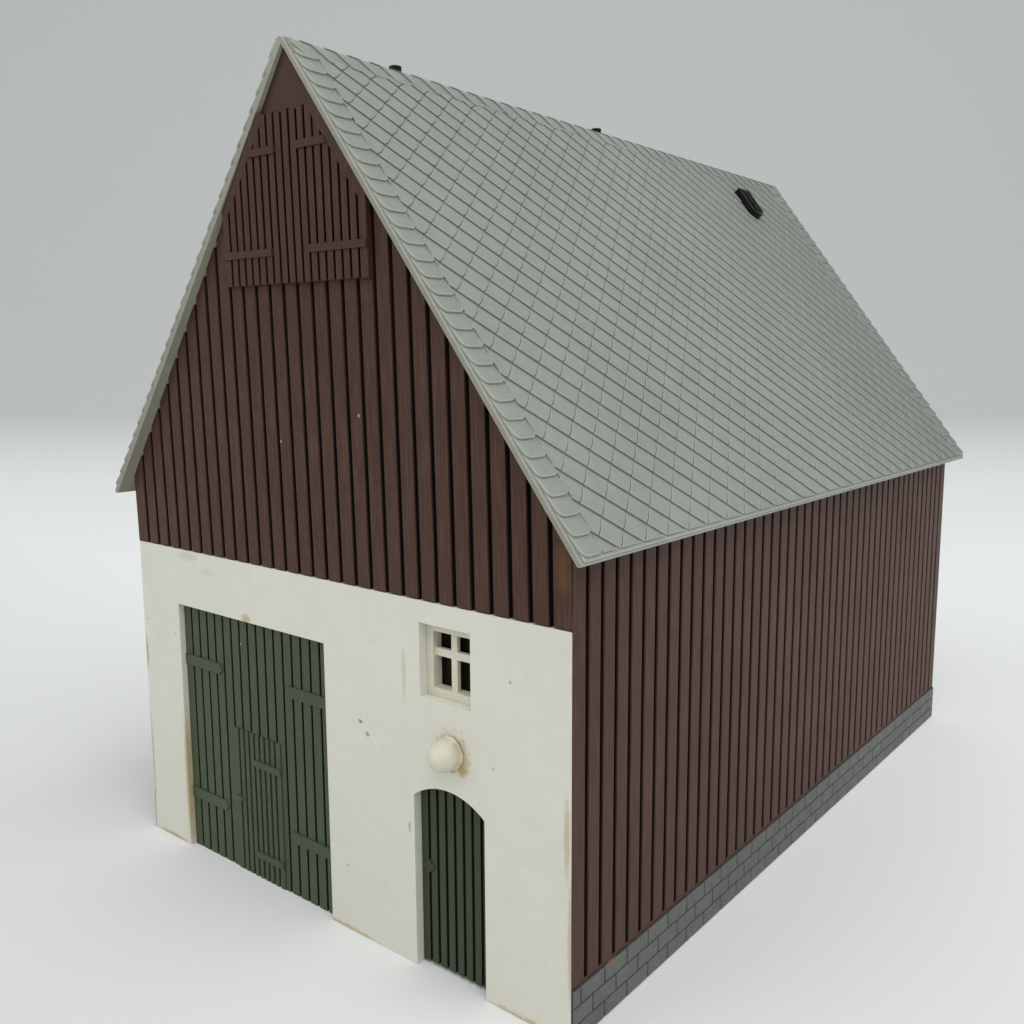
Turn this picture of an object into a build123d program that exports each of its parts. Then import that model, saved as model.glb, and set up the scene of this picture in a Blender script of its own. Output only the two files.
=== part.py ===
from build123d import *
from math import atan2, ceil, cos, degrees, radians, sin, sqrt, tan
import os

# Model barn in 1:87, a glued plastic kit. Lengths are in millimetres.
# X runs across the front, Y from the front to the rear, Z up from the ground.
# The origin lies on the ground, in the middle of the whole model.

# Building
WIDTH = 78.0                  # across the front wall
LENGTH = 119.0                # from the front wall to the rear wall
WALL = 1.6                    # thickness of every wall panel
RENDER_HEIGHT = 44.1          # rendered part of the front wall
RENDER_SEAM = 0.15            # open joint between the render and the boards
LAP = 1.2                     # height of the half lap behind that joint
GABLE_LEAN = 1.3              # degrees by which the front boards lean forward
FIT = 0.1                     # clearance round what is glued into an opening

# Boarding of the gables and the long walls
BOARD_PITCH = 2.6
BOARD_GAP = 0.7               # groove between two boards, at the face
BOARD_GAP_FLOOR = 0.4         # the same groove at its bottom
BOARD_RELIEF = 0.45
BOARD_FOOT = 0.3              # plain edge below the grooves

# Stone plinth
PLINTH_HEIGHT = 6.0
PLINTH_BEDDING = 0.75         # the strip lies this deep in the wall
STONE_GROUND = 0.05           # mortar face in front of the boards
STONE_RELIEF = 0.2            # stone face in front of the mortar
STONE_PITCH = 4.33
STONE_START = 1.4             # first joint of the bottom course, from the end
STONE_LEAST = 1.0             # no stone is shorter
STONE_COURSES = 3
STONE_JOINT = 0.3             # width of the V between two stones

# Openings of the front wall, measured from its middle
INSERT_SEAT = 1.2             # depth of the seat that the inserts are glued to
INSERT_FLANGE = 1.2           # how far an insert reaches past its opening
INSERT_PLATE = 0.8            # thickness of that flange
GATE_CENTRE = -14.15
GATE_WIDTH = 31.3
GATE_HEIGHT = 36.0
GATE_RECESS = 0.8
GATE_BOARDS = 17
DOOR_CENTRE = 21.95
DOOR_WIDTH = 10.7
DOOR_SPRING = 21.0
DOOR_RISE = 1.85
DOOR_RECESS = 1.05
DOOR_LIFT = 0.45              # gap between the ground and the door
DOOR_BOARDS = 8
DOOR_GROOVE = 0.4             # grooves of the gate, the door and the shutters
DOOR_GROOVE_DEPTH = 0.3
WINDOW_CENTRE = 21.7
WINDOW_SILL = 32.9
WINDOW_WIDTH = 7.6
WINDOW_HEIGHT = 8.5
WINDOW_FRAME = 1.0            # width of the outer bars
WINDOW_DEPTH = 1.35
WINDOW_BAR = 0.9              # width of the mullion and the transom
WINDOW_BAR_SETBACK = 0.4
WINDOW_BAR_DEPTH = 0.6
TRANSOM_HEIGHT = 4.05         # above the lower bar of the frame
GLAZING = 0.25

# Ironwork and wicket moulded on the gate
STRAP_HEIGHT = 1.5
STRAP_PROUD = 0.2
STRAP_POINT = 0.6
STRAP_LENGTH = 8.6
STRAP_LEVELS = (8.2, 28.0)
WICKET_OFFSET = 0.3           # its middle, right of the middle of the gate
WICKET_WIDTH = 10.0
WICKET_HEIGHT = 20.4
WICKET_BOARDS = 9
WICKET_PROUD = 0.15
WICKET_STRAP_LENGTH = 6.0
WICKET_STRAP_HEIGHT = 0.9
WICKET_STRAP_LEVELS = (3.4, 16.4)
LATCH_LENGTH = 1.5
LATCH_HEIGHT = 0.6
WICKET_LATCH_LEVEL = 10.4
DOOR_LATCH_LEVEL = 12.4

# Loft shutters moulded on the front gable
SHUTTER_WIDTH = 25.6
SHUTTER_SILL = 78.8
SHUTTER_TOP = 97.6
SHUTTER_PROUD = 0.6
SHUTTER_BOARDS = 19
SHUTTER_BORDER = 1.0          # plain edge between the shutter boards and the roof
SHUTTER_STRAP_HEIGHT = 0.85
SHUTTER_STRAPS = ((82.4, 3.4), (93.7, 2.0))   # level, and inner end from the middle

# Roof
ROOF_PITCH = 52.7             # degrees
RIDGE_HEIGHT = 105.2
ROOF_LENGTH = 123.6
VERGE_FRONT = 1.9             # overhang past the front wall
EAVE_OVERHANG = 2.3
ROOF_SHEET = 0.6              # its outer faces meet at the height of the ridge
SHEET_EDGE = 0.3              # plain edge of the sheet round the slates
SLATE_RISE = 0.6              # bed of the slates above the sheet
SLATE_STEP = 0.2              # edge of a slate above that bed
SLATE_ROOT = 0.3              # the slates run this deep into the sheet
SLATE_WIDTH = 4.31            # from one slate to the next along a course
SLATE_COURSE = 1.87           # from one course to the next up the slope
VERGE_SLATE = 3.3             # width of the slates along a verge
VERGE_PITCH = 2.22
VERGE_LAP = 0.5               # hidden length of those slates
VERGE_CORNER = 1.0            # cut off the lower corner beside the field
EAVE_LIP = 0.9                # from the eave to the first course
RIDGE_BAND = 2.9
RIDGE_PITCH = 3.45
RIDGE_STEP = 0.35             # edge of a ridge slate above the bed
RIDGE_CREST = 0.1             # flat top of the slates above the sheets' ridge
RIB = 1.0                     # ribs below the sheet that place it on the walls
RIB_DEPTH = 1.5
RIB_GAP = 0.3                 # between a rib and the wall beside it
RIB_END = 8.0                 # plain sheet past the upper and lower end of a rib

# Roof hatch on the right slope, measured from the front verge and from the ridge
HATCH_STATION = 101.4
HATCH_WIDTH = 4.15
HATCH_LENGTH = 6.3
HATCH_ROUND = 1.2             # rise of its rounded lower end
HATCH_FROM_RIDGE = 6.1
HATCH_STAND = 1.0             # above the slates
HATCH_RIM = 0.5
HATCH_PAN = 0.4               # depth of the pan inside the rim
HATCH_RIBS = 2
HATCH_RIB = 0.35
HATCH_SPIGOT = 0.6            # the spigot is this much smaller all round

# Vent pipes on the left slope, at stations measured from the front verge
VENT_STATIONS = (19.2, 63.3)
VENT_FROM_RIDGE = 2.6         # measured level
VENT_DIAMETER = 1.35
VENT_BORE = 0.75
VENT_BORE_DEPTH = 1.5
VENT_ABOVE_RIDGE = 1.5
VENT_TAIL = 0.5               # below the roof sheet

# Globe lamp over the arched door
LAMP_CENTRE = 22.5
LAMP_LEVEL = 27.5
LAMP_BALL = 1.75              # radius
LAMP_STAND = 1.25             # centre of the ball in front of the wall
LAMP_COLLAR = 1.9             # radius
LAMP_COLLAR_DEPTH = 0.35
LAMP_PEG = 0.6                # radius
PEG_FIT = 0.05                # clearance round the lamp's peg and the vent pipes

# Places worked out from the sizes above
half = WIDTH / 2
pitch_angle = radians(ROOF_PITCH)
front_y = (LAMP_STAND + LAMP_BALL + VERGE_FRONT - ROOF_LENGTH) / 2
rear_y = front_y + LENGTH
roof_front = front_y - VERGE_FRONT
eave_x = half + EAVE_OVERHANG
eave_z = RIDGE_HEIGHT - eave_x * tan(pitch_angle)
slope_length = eave_x / cos(pitch_angle)
slate_top = SLATE_RISE + SLATE_STEP
gate_left = GATE_CENTRE - GATE_WIDTH / 2
window_middle = WINDOW_SILL + WINDOW_HEIGHT / 2

# Outer faces of the walls: X along the wall, Y up, Z outwards
front_face = Plane((0, front_y, 0), (1, 0, 0), (0, -1, 0))
rear_face = Plane((0, rear_y, 0), (-1, 0, 0), (0, 1, 0))
right_face = Plane((half, (front_y + rear_y) / 2, 0), (0, 1, 0), (1, 0, 0))
left_face = Plane((-half, (front_y + rear_y) / 2, 0), (0, -1, 0), (-1, 0, 0))

# Face of the front boards: it starts at the seam over the render and leans forward
rise = Vector(0, -sin(radians(GABLE_LEAN)), cos(radians(GABLE_LEAN)))
seam = Vector(0, front_y, RENDER_HEIGHT)
gable_face = Plane(seam - RENDER_HEIGHT * rise, (1, 0, 0), Vector(1, 0, 0).cross(rise))


def behind(depth, face=front_face):
    """Plane parallel to a wall, at a depth behind its outer face."""
    return face.offset(-depth)


def plan(face, level):
    """Plane square to a wall, with X along it and Y into the building."""
    return Plane(face.from_local_coords((0, level, 0)), face.x_dir, face.y_dir)


def underside(x):
    """Height of the roof's lower face at a distance x from the middle."""
    return RIDGE_HEIGHT - ROOF_SHEET / cos(pitch_angle) - abs(x) * tan(pitch_angle)


def slope_plane(side):
    """Outer face of one roof slope: X along the eave, Y up the slope, Z outwards."""
    start = roof_front if side > 0 else roof_front + ROOF_LENGTH
    return Plane(
        (side * eave_x, start, eave_z),
        (0, side, 0),
        (side * sin(pitch_angle), 0, cos(pitch_angle)),
    )


def mitred(length, outer, inner):
    """Plan of a panel between two depths, mitred at both corners."""
    reach = length / 2
    Polygon(
        (outer - reach, outer),
        (reach - outer, outer),
        (reach - inner, inner),
        (inner - reach, inner),
        align=None,
    )


def gable(foot, border=0.0, mode=Mode.ADD):
    """Outline of a gable above a level, drawn in from the roof by a border."""
    drop = border / cos(pitch_angle)
    corner = max(foot, underside(half) - drop)
    reach = (underside(0) - drop - corner) / tan(pitch_angle)
    points = [(-reach, corner), (-reach, foot), (reach, foot), (reach, corner)]
    if corner == foot:
        points = [(-reach, foot), (reach, foot)]
    Polygon(*points, (0, underside(0) - drop), align=None, mode=mode)


def boarding(face, length, foot, top):
    """Cuts the grooves between upright boards into the face of a wall."""
    boards = round(length / BOARD_PITCH)
    pitch = length / boards
    with BuildSketch(plan(face, foot + BOARD_FOOT)) as section:
        with Locations([(pitch * (n - boards / 2), 0) for n in range(1, boards)]):
            Polygon(
                (-BOARD_GAP / 2, 0),
                (BOARD_GAP / 2, 0),
                (BOARD_GAP_FLOOR / 2, BOARD_RELIEF),
                (-BOARD_GAP_FLOOR / 2, BOARD_RELIEF),
                align=None,
            )
    extrude(section.sketch, amount=top - foot, mode=Mode.SUBTRACT)


def board_lines(width, boards, foot, top):
    """Narrow grooves that share a width out into boards."""
    pitch = width / boards
    with Locations((0, (foot + top) / 2)):
        with Locations([(pitch * (n - boards / 2), 0) for n in range(1, boards)]):
            Rectangle(DOOR_GROOVE, top - foot)


def arch(grow, foot, mode=Mode.ADD):
    """Outline of the arched door, grown at its sides and its arch."""
    left = DOOR_CENTRE - DOOR_WIDTH / 2 - grow
    right = DOOR_CENTRE + DOOR_WIDTH / 2 + grow
    crown = DOOR_SPRING + DOOR_RISE + grow
    with BuildLine() as outline:
        Polyline((left, DOOR_SPRING), (left, foot), (right, foot), (right, DOOR_SPRING))
        ThreePointArc((right, DOOR_SPRING), (DOOR_CENTRE, crown), (left, DOOR_SPRING))
    make_face(outline.line, mode=mode)


def strap(length, height, point):
    """Hinge strap from its hinge at the origin, with a pointed end."""
    Polygon(
        (0, -height / 2),
        (length - point, -height / 2),
        (length, 0),
        (length - point, height / 2),
        (0, height / 2),
        align=None,
    )


# Rendered lower part of the front wall
with BuildPart() as front_render_wall:
    with BuildSketch(plan(front_face, 0)):
        mitred(WIDTH, 0, WALL)
    extrude(amount=RENDER_HEIGHT - RENDER_SEAM)
    with BuildSketch(front_face):
        with Locations((GATE_CENTRE, GATE_HEIGHT / 2)):
            Rectangle(GATE_WIDTH, GATE_HEIGHT)
        with Locations((WINDOW_CENTRE, window_middle)):
            Rectangle(WINDOW_WIDTH, WINDOW_HEIGHT)
        with Locations((LAMP_CENTRE, LAMP_LEVEL)):
            Circle(LAMP_PEG + PEG_FIT)
        arch(0, 0)
    extrude(amount=-WALL, mode=Mode.SUBTRACT)
    rebate = INSERT_FLANGE + FIT
    with BuildSketch(behind(INSERT_SEAT)):
        with Locations((GATE_CENTRE, (GATE_HEIGHT + rebate) / 2)):
            Rectangle(GATE_WIDTH + 2 * rebate, GATE_HEIGHT + rebate)
        with Locations((WINDOW_CENTRE, window_middle)):
            Rectangle(WINDOW_WIDTH + 2 * rebate, WINDOW_HEIGHT + 2 * rebate)
        arch(rebate, 0)
    extrude(amount=INSERT_SEAT - WALL, mode=Mode.SUBTRACT)
    with BuildSketch(behind(WALL / 2)):
        with Locations((0, RENDER_HEIGHT - LAP / 2)):
            Rectangle(WIDTH, LAP)
    extrude(amount=-WALL, mode=Mode.SUBTRACT)
front_render_wall.part.label = "front_render_wall"

# Boarded upper part of the front wall, with the loft shutters moulded on it.
# The leaning panel is trimmed to the roof, and its lap joint stands upright.
with BuildPart() as front_gable_wall:
    with BuildSketch(plan(gable_face, RENDER_HEIGHT)):
        mitred(WIDTH, 0, WALL)
    extrude(amount=RIDGE_HEIGHT - RENDER_HEIGHT)
    boarding(gable_face, WIDTH, RENDER_HEIGHT - BOARD_FOOT, SHUTTER_TOP)
    with BuildSketch(behind(BOARD_RELIEF, gable_face)):
        with Locations((0, (SHUTTER_SILL + SHUTTER_TOP) / 2)):
            Rectangle(SHUTTER_WIDTH, SHUTTER_TOP - SHUTTER_SILL)
    extrude(amount=BOARD_RELIEF + SHUTTER_PROUD)
    with BuildSketch(behind(-SHUTTER_PROUD, gable_face)):
        board_lines(SHUTTER_WIDTH, SHUTTER_BOARDS, SHUTTER_SILL, SHUTTER_TOP)
        gable(RENDER_HEIGHT, SHUTTER_BORDER, mode=Mode.INTERSECT)
    extrude(amount=-DOOR_GROOVE_DEPTH, mode=Mode.SUBTRACT)
    with BuildSketch(behind(DOOR_GROOVE_DEPTH - SHUTTER_PROUD, gable_face)):
        for level, inner in SHUTTER_STRAPS:
            length = SHUTTER_WIDTH / 2 - inner
            with Locations((-inner - length / 2, level), (inner + length / 2, level)):
                Rectangle(length, SHUTTER_STRAP_HEIGHT)
        gable(RENDER_HEIGHT, SHUTTER_BORDER, mode=Mode.INTERSECT)
    extrude(amount=DOOR_GROOVE_DEPTH + STRAP_PROUD)
    with BuildSketch(behind(2 * WALL)):
        gable(RENDER_HEIGHT)
    extrude(amount=4 * WALL, mode=Mode.INTERSECT)
    with BuildSketch(plan(front_face, RENDER_HEIGHT - LAP + FIT)):
        mitred(WIDTH, WALL / 2, WALL)
    extrude(amount=LAP)
front_gable_wall.part.label = "front_gable_wall"


def boarded_wall(face, length):
    """Boarded panel from the ground up, thinned behind the plinth strip."""
    with BuildSketch(plan(face, 0)) as foot:
        mitred(length, PLINTH_BEDDING, WALL)
    extrude(foot.sketch, amount=PLINTH_HEIGHT)
    with BuildSketch(plan(face, PLINTH_HEIGHT)) as panel:
        mitred(length, 0, WALL)
    extrude(panel.sketch, amount=RIDGE_HEIGHT - PLINTH_HEIGHT)
    boarding(face, length, PLINTH_HEIGHT, RIDGE_HEIGHT - PLINTH_HEIGHT)


# Long walls, cut to the slope of the roof at their top
with BuildPart() as side_wall_right:
    boarded_wall(right_face, LENGTH)
    split(bisect_by=slope_plane(1).offset(-ROOF_SHEET), keep=Keep.BOTTOM)
side_wall_right.part.label = "side_wall_right"

with BuildPart() as side_wall_left:
    boarded_wall(left_face, LENGTH)
    split(bisect_by=slope_plane(-1).offset(-ROOF_SHEET), keep=Keep.BOTTOM)
side_wall_left.part.label = "side_wall_left"

# Rear wall, in one piece from the ground to the ridge
with BuildPart() as rear_gable_wall:
    boarded_wall(rear_face, WIDTH)
    with BuildSketch(rear_face):
        gable(0)
    extrude(amount=-WALL, mode=Mode.INTERSECT)
rear_gable_wall.part.label = "rear_gable_wall"


def plinth_strip(face, length, flush_left, flush_right):
    """Strip of stones with mitred ends, or with an end flush to the front wall."""
    left = -length / 2 - (0 if flush_left else STONE_GROUND)
    right = length / 2 + (0 if flush_right else STONE_GROUND)
    with BuildSketch(plan(face, 0)) as strip:
        Polygon(
            (left, -STONE_GROUND),
            (right, -STONE_GROUND),
            (length / 2, 0),
            (length / 2 - PLINTH_BEDDING, PLINTH_BEDDING),
            (PLINTH_BEDDING - length / 2, PLINTH_BEDDING),
            (-length / 2, 0),
            align=None,
        )
    extrude(strip.sketch, amount=PLINTH_HEIGHT)
    course = PLINTH_HEIGHT / STONE_COURSES
    bevel = degrees(atan2(STONE_JOINT / 2, STONE_RELIEF))
    stones = []
    for row in range(STONE_COURSES):
        joint = STONE_START + STONE_PITCH / 2 * (row % 2)
        joints = [0]
        while joint < length - STONE_LEAST:
            joints += [joint]
            joint += STONE_PITCH
        joints += [length]
        for start, end in zip(joints, joints[1:]):
            with BuildSketch(behind(-STONE_GROUND, face)) as stone:
                with Locations(((start + end - length) / 2, course * (row + 0.5))):
                    Rectangle(end - start, course)
            stones += [extrude(stone.sketch, STONE_RELIEF, taper=bevel, mode=Mode.PRIVATE)]
    add(stones)


with BuildPart() as plinth_right:
    plinth_strip(right_face, LENGTH, True, False)
plinth_right.part.label = "plinth_right"

with BuildPart() as plinth_left:
    plinth_strip(left_face, LENGTH, False, True)
plinth_left.part.label = "plinth_left"

with BuildPart() as plinth_rear:
    plinth_strip(rear_face, WIDTH, False, False)
plinth_rear.part.label = "plinth_rear"

# Barn gate: one moulding of upright boards with straps and a wicket
with BuildPart() as barn_gate:
    with BuildSketch(behind(INSERT_SEAT)):
        with Locations((GATE_CENTRE, (GATE_HEIGHT + INSERT_FLANGE) / 2)):
            Rectangle(GATE_WIDTH + 2 * INSERT_FLANGE, GATE_HEIGHT + INSERT_FLANGE)
    extrude(amount=-INSERT_PLATE)
    with BuildSketch(behind(INSERT_SEAT)):
        with Locations((GATE_CENTRE, (GATE_HEIGHT - FIT) / 2)):
            Rectangle(GATE_WIDTH - 2 * FIT, GATE_HEIGHT - FIT)
    extrude(amount=INSERT_SEAT - GATE_RECESS)
    with BuildSketch(behind(GATE_RECESS)):
        with Locations((GATE_CENTRE, 0)):
            board_lines(GATE_WIDTH, GATE_BOARDS, 0, GATE_HEIGHT - FIT)
    extrude(amount=-DOOR_GROOVE_DEPTH, mode=Mode.SUBTRACT)
    groove_floor = GATE_RECESS + DOOR_GROOVE_DEPTH
    wicket_face = GATE_RECESS - WICKET_PROUD
    with BuildSketch(behind(groove_floor)):
        with Locations((GATE_CENTRE + WICKET_OFFSET, WICKET_HEIGHT / 2)):
            Rectangle(WICKET_WIDTH, WICKET_HEIGHT)
    extrude(amount=groove_floor - wicket_face)
    with BuildSketch(behind(wicket_face)):
        with Locations((GATE_CENTRE + WICKET_OFFSET, 0)):
            board_lines(WICKET_WIDTH, WICKET_BOARDS, 0, WICKET_HEIGHT)
    extrude(amount=-DOOR_GROOVE_DEPTH, mode=Mode.SUBTRACT)
    with BuildSketch(behind(groove_floor)):
        for level in STRAP_LEVELS:
            with Locations((gate_left + 2 * FIT, level)):
                strap(STRAP_LENGTH, STRAP_HEIGHT, STRAP_POINT)
            with Locations(Location((gate_left + GATE_WIDTH - 2 * FIT, level), 180)):
                strap(STRAP_LENGTH, STRAP_HEIGHT, STRAP_POINT)
    extrude(amount=groove_floor - GATE_RECESS + STRAP_PROUD)
    wicket_left = GATE_CENTRE + WICKET_OFFSET - WICKET_WIDTH / 2
    with BuildSketch(behind(wicket_face + DOOR_GROOVE_DEPTH)):
        for level in WICKET_STRAP_LEVELS:
            with Locations(Location((wicket_left + WICKET_WIDTH, level), 180)):
                strap(WICKET_STRAP_LENGTH, WICKET_STRAP_HEIGHT, STRAP_POINT)
        with Locations((wicket_left + LATCH_LENGTH / 2, WICKET_LATCH_LEVEL)):
            Rectangle(LATCH_LENGTH, LATCH_HEIGHT)
    extrude(amount=DOOR_GROOVE_DEPTH + STRAP_PROUD)
barn_gate.part.label = "barn_gate"

# Arched door beside it, held a little above the ground
with BuildPart() as arched_door:
    with BuildSketch(behind(INSERT_SEAT)):
        arch(INSERT_FLANGE, DOOR_LIFT)
    extrude(amount=-INSERT_PLATE)
    with BuildSketch(behind(INSERT_SEAT)):
        arch(-FIT, DOOR_LIFT)
    extrude(amount=INSERT_SEAT - DOOR_RECESS)
    with BuildSketch(behind(DOOR_RECESS)):
        with Locations((DOOR_CENTRE, 0)):
            board_lines(DOOR_WIDTH, DOOR_BOARDS, DOOR_LIFT, DOOR_SPRING + DOOR_RISE)
        arch(-FIT, DOOR_LIFT, mode=Mode.INTERSECT)
    extrude(amount=-DOOR_GROOVE_DEPTH, mode=Mode.SUBTRACT)
    latch_centre = DOOR_CENTRE - DOOR_WIDTH / 2 + DOOR_WIDTH / DOOR_BOARDS
    with BuildSketch(behind(DOOR_RECESS + DOOR_GROOVE_DEPTH)):
        with Locations((latch_centre, DOOR_LATCH_LEVEL)):
            Rectangle(LATCH_LENGTH, LATCH_HEIGHT)
            Rectangle(LATCH_HEIGHT, LATCH_LENGTH)
    extrude(amount=DOOR_GROOVE_DEPTH + STRAP_PROUD)
arched_door.part.label = "arched_door"

# Window over the door: frame with a mullion and a transom, and its clear pane
pane_width = WINDOW_WIDTH - 2 * WINDOW_FRAME
pane_height = WINDOW_HEIGHT - 2 * WINDOW_FRAME
with BuildPart() as window_frame:
    with BuildSketch(behind(INSERT_SEAT)):
        with Locations((WINDOW_CENTRE, window_middle)):
            Rectangle(WINDOW_WIDTH + 2 * INSERT_FLANGE, WINDOW_HEIGHT + 2 * INSERT_FLANGE)
            Rectangle(pane_width, pane_height, mode=Mode.SUBTRACT)
    extrude(amount=-WINDOW_DEPTH)
    transom = WINDOW_SILL + WINDOW_FRAME + TRANSOM_HEIGHT
    with BuildSketch(behind(INSERT_SEAT + WINDOW_BAR_SETBACK)):
        with Locations((WINDOW_CENTRE, window_middle)):
            Rectangle(WINDOW_BAR, pane_height)
        with Locations((WINDOW_CENTRE, transom)):
            Rectangle(pane_width, WINDOW_BAR)
    extrude(amount=-WINDOW_BAR_DEPTH)
window_frame.part.label = "window_frame"

with BuildPart() as window_pane:
    with BuildSketch(behind(INSERT_SEAT + WINDOW_DEPTH)):
        with Locations((WINDOW_CENTRE, window_middle)):
            Rectangle(WINDOW_WIDTH + INSERT_FLANGE, WINDOW_HEIGHT + INSERT_FLANGE)
    extrude(amount=-GLAZING)
window_pane.part.label = "window_pane"

# Globe lamp, turned about an axis square to the front wall
lamp_plane = Plane((LAMP_CENTRE, front_y, LAMP_LEVEL), (0, -1, 0), (1, 0, 0))
neck = sqrt(LAMP_BALL**2 - (LAMP_STAND - LAMP_COLLAR_DEPTH) ** 2)
with BuildPart() as lamp_globe:
    with BuildSketch(lamp_plane):
        with BuildLine():
            Polyline(
                (LAMP_STAND + LAMP_BALL, 0),
                (-WALL, 0),
                (-WALL, LAMP_PEG),
                (0, LAMP_PEG),
                (0, LAMP_COLLAR),
                (LAMP_COLLAR_DEPTH, LAMP_COLLAR),
                (LAMP_COLLAR_DEPTH, neck),
            )
            ThreePointArc(
                (LAMP_COLLAR_DEPTH, neck),
                (LAMP_STAND, LAMP_BALL),
                (LAMP_STAND + LAMP_BALL, 0),
            )
        make_face()
    revolve(axis=Axis(lamp_plane.origin, lamp_plane.x_dir))
lamp_globe.part.label = "lamp_globe"


def hatch_outline(shrink):
    """Outline of the roof hatch on its slope, drawn in all round."""
    left = HATCH_STATION - HATCH_WIDTH / 2
    right = HATCH_STATION + HATCH_WIDTH / 2
    top = slope_length - HATCH_FROM_RIDGE
    corner = top - HATCH_LENGTH + HATCH_ROUND
    with BuildLine() as outline:
        Polyline((left, corner), (left, top), (right, top), (right, corner))
        ThreePointArc((right, corner), (HATCH_STATION, corner - HATCH_ROUND), (left, corner))
    make_face(outline.line)
    if shrink:
        offset(amount=-shrink, kind=Kind.INTERSECTION, mode=Mode.REPLACE)


def slate_courses():
    """Field of slates on a level sheet: slanting bands, cut to the field."""
    slant = atan2(SLATE_COURSE, SLATE_WIDTH / 2)
    band = SLATE_WIDTH * sin(slant)
    corner = Vector(SHEET_EDGE + VERGE_SLATE, EAVE_LIP, 0)
    field_width = ROOF_LENGTH - 2 * corner.X
    field_height = slope_length - EAVE_LIP - RIDGE_BAND
    across = Vector(sin(slant), cos(slant), 0)
    along = Vector(cos(slant), -sin(slant), 0)
    teeth = [(0, -SLATE_ROOT)]
    for n in range(ceil((field_width * across.X + field_height * across.Y) / band)):
        teeth += [(n * band, slate_top), ((n + 1) * band, SLATE_RISE)]
    teeth += [(teeth[-1][0], -SLATE_ROOT)]
    with BuildPart() as courses:
        with BuildSketch(Plane(corner - slope_length * along, across, along)):
            Polygon(*teeth, align=None)
        extrude(amount=slope_length + ROOF_LENGTH)
        with BuildSketch(Plane(corner - Vector(0, 0, SLATE_ROOT))):
            Rectangle(field_width, field_height, align=Align.MIN)
        extrude(amount=SLATE_ROOT + slate_top, mode=Mode.INTERSECT)
    return courses.part


def verge_slates():
    """Slates beside both verges, each one tilted over the next below."""
    tilt = degrees(atan2(SLATE_STEP, VERGE_PITCH))
    with BuildPart() as columns:
        for n in range(ceil((slope_length - RIDGE_BAND - EAVE_LIP) / VERGE_PITCH)):
            foot = Plane((SHEET_EDGE, EAVE_LIP + n * VERGE_PITCH, slate_top))
            with BuildSketch(foot.rotated((-tilt, 0, 0))):
                Rectangle(VERGE_SLATE, VERGE_PITCH + VERGE_LAP, align=Align.MIN)
                chamfer(vertices().group_by(Axis.Y)[0].sort_by(Axis.X)[-1], VERGE_CORNER)
            extrude(amount=-slate_top - SLATE_ROOT)
        mirror(about=Plane.YZ.offset(ROOF_LENGTH / 2))
    return columns.part


def ridge_slates():
    """Course along the ridge, where each slate laps over the one before it."""
    teeth = [(0, -SLATE_ROOT)]
    for n in range(ceil(ROOF_LENGTH / RIDGE_PITCH)):
        teeth += [(n * RIDGE_PITCH, SLATE_RISE + RIDGE_STEP), ((n + 1) * RIDGE_PITCH, SLATE_RISE)]
    teeth += [(teeth[-1][0], -SLATE_ROOT)]
    reach = RIDGE_BAND + (SLATE_RISE + RIDGE_STEP) * tan(pitch_angle)
    with BuildPart() as course:
        with BuildSketch(Plane((0, slope_length - RIDGE_BAND, 0), (1, 0, 0), (0, -1, 0))):
            Polygon(*teeth, align=None)
        extrude(amount=-reach)
        with BuildSketch(Plane((SHEET_EDGE, 0, -SLATE_ROOT))):
            Rectangle(ROOF_LENGTH - 2 * SHEET_EDGE, slope_length + reach, align=Align.MIN)
        extrude(amount=SLATE_ROOT + SLATE_RISE + RIDGE_STEP, mode=Mode.INTERSECT)
    return course.part


slates = [slate_courses(), verge_slates(), ridge_slates()]


def roof_slope(side):
    """One slope of the roof: thin sheet, the slates on it and the ribs below it."""
    sheet = slope_plane(side)
    placed = [sheet.location * course for course in slates]
    front_overhang = VERGE_FRONT if side > 0 else ROOF_LENGTH - VERGE_FRONT - LENGTH
    rib_field = LENGTH - 2 * (WALL + RIB_GAP)
    rib_start = front_overhang + WALL + RIB_GAP
    inner_wall = EAVE_OVERHANG + WALL - ROOF_SHEET * sin(pitch_angle)
    rib_foot = inner_wall / cos(pitch_angle) + RIB_GAP
    rib_height = slope_length - RIB_END - rib_foot
    with BuildPart() as slope:
        with BuildSketch(sheet):
            Rectangle(ROOF_LENGTH, slope_length, align=Align.MIN)
        extrude(amount=-ROOF_SHEET)
        with BuildSketch(sheet):
            with Locations((SHEET_EDGE, SHEET_EDGE)):
                Rectangle(ROOF_LENGTH - 2 * SHEET_EDGE, EAVE_LIP - SHEET_EDGE, align=Align.MIN)
        extrude(amount=SLATE_RISE)
        add(placed)
        with BuildSketch(sheet.offset(-ROOF_SHEET)):
            with Locations((rib_start, rib_foot)):
                Rectangle(rib_field, RIB, align=Align.MIN)
            for start in (rib_start, rib_start + rib_field - RIB):
                with Locations((start, rib_foot)):
                    Rectangle(RIB, rib_height, align=Align.MIN)
        extrude(amount=-RIB_DEPTH)
        split(bisect_by=Plane.XY.offset(eave_z), keep=Keep.TOP)
        split(bisect_by=Plane.XY.offset(RIDGE_HEIGHT + RIDGE_CREST), keep=Keep.BOTTOM)
        split(bisect_by=Plane.YZ, keep=Keep.TOP if side > 0 else Keep.BOTTOM)
    return slope.part


right_slope = roof_slope(1)
left_slope = roof_slope(-1)
hatch_seat = slope_plane(1)

# Right slope, with a flat seat and a hole for the roof hatch
with BuildPart() as roof_right:
    add(right_slope)
    with BuildSketch(hatch_seat):
        hatch_outline(-FIT)
    extrude(amount=slate_top, mode=Mode.SUBTRACT)
    with BuildSketch(hatch_seat):
        hatch_outline(HATCH_SPIGOT - FIT)
    extrude(amount=-ROOF_SHEET, mode=Mode.SUBTRACT)
roof_right.part.label = "roof_right"

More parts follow.
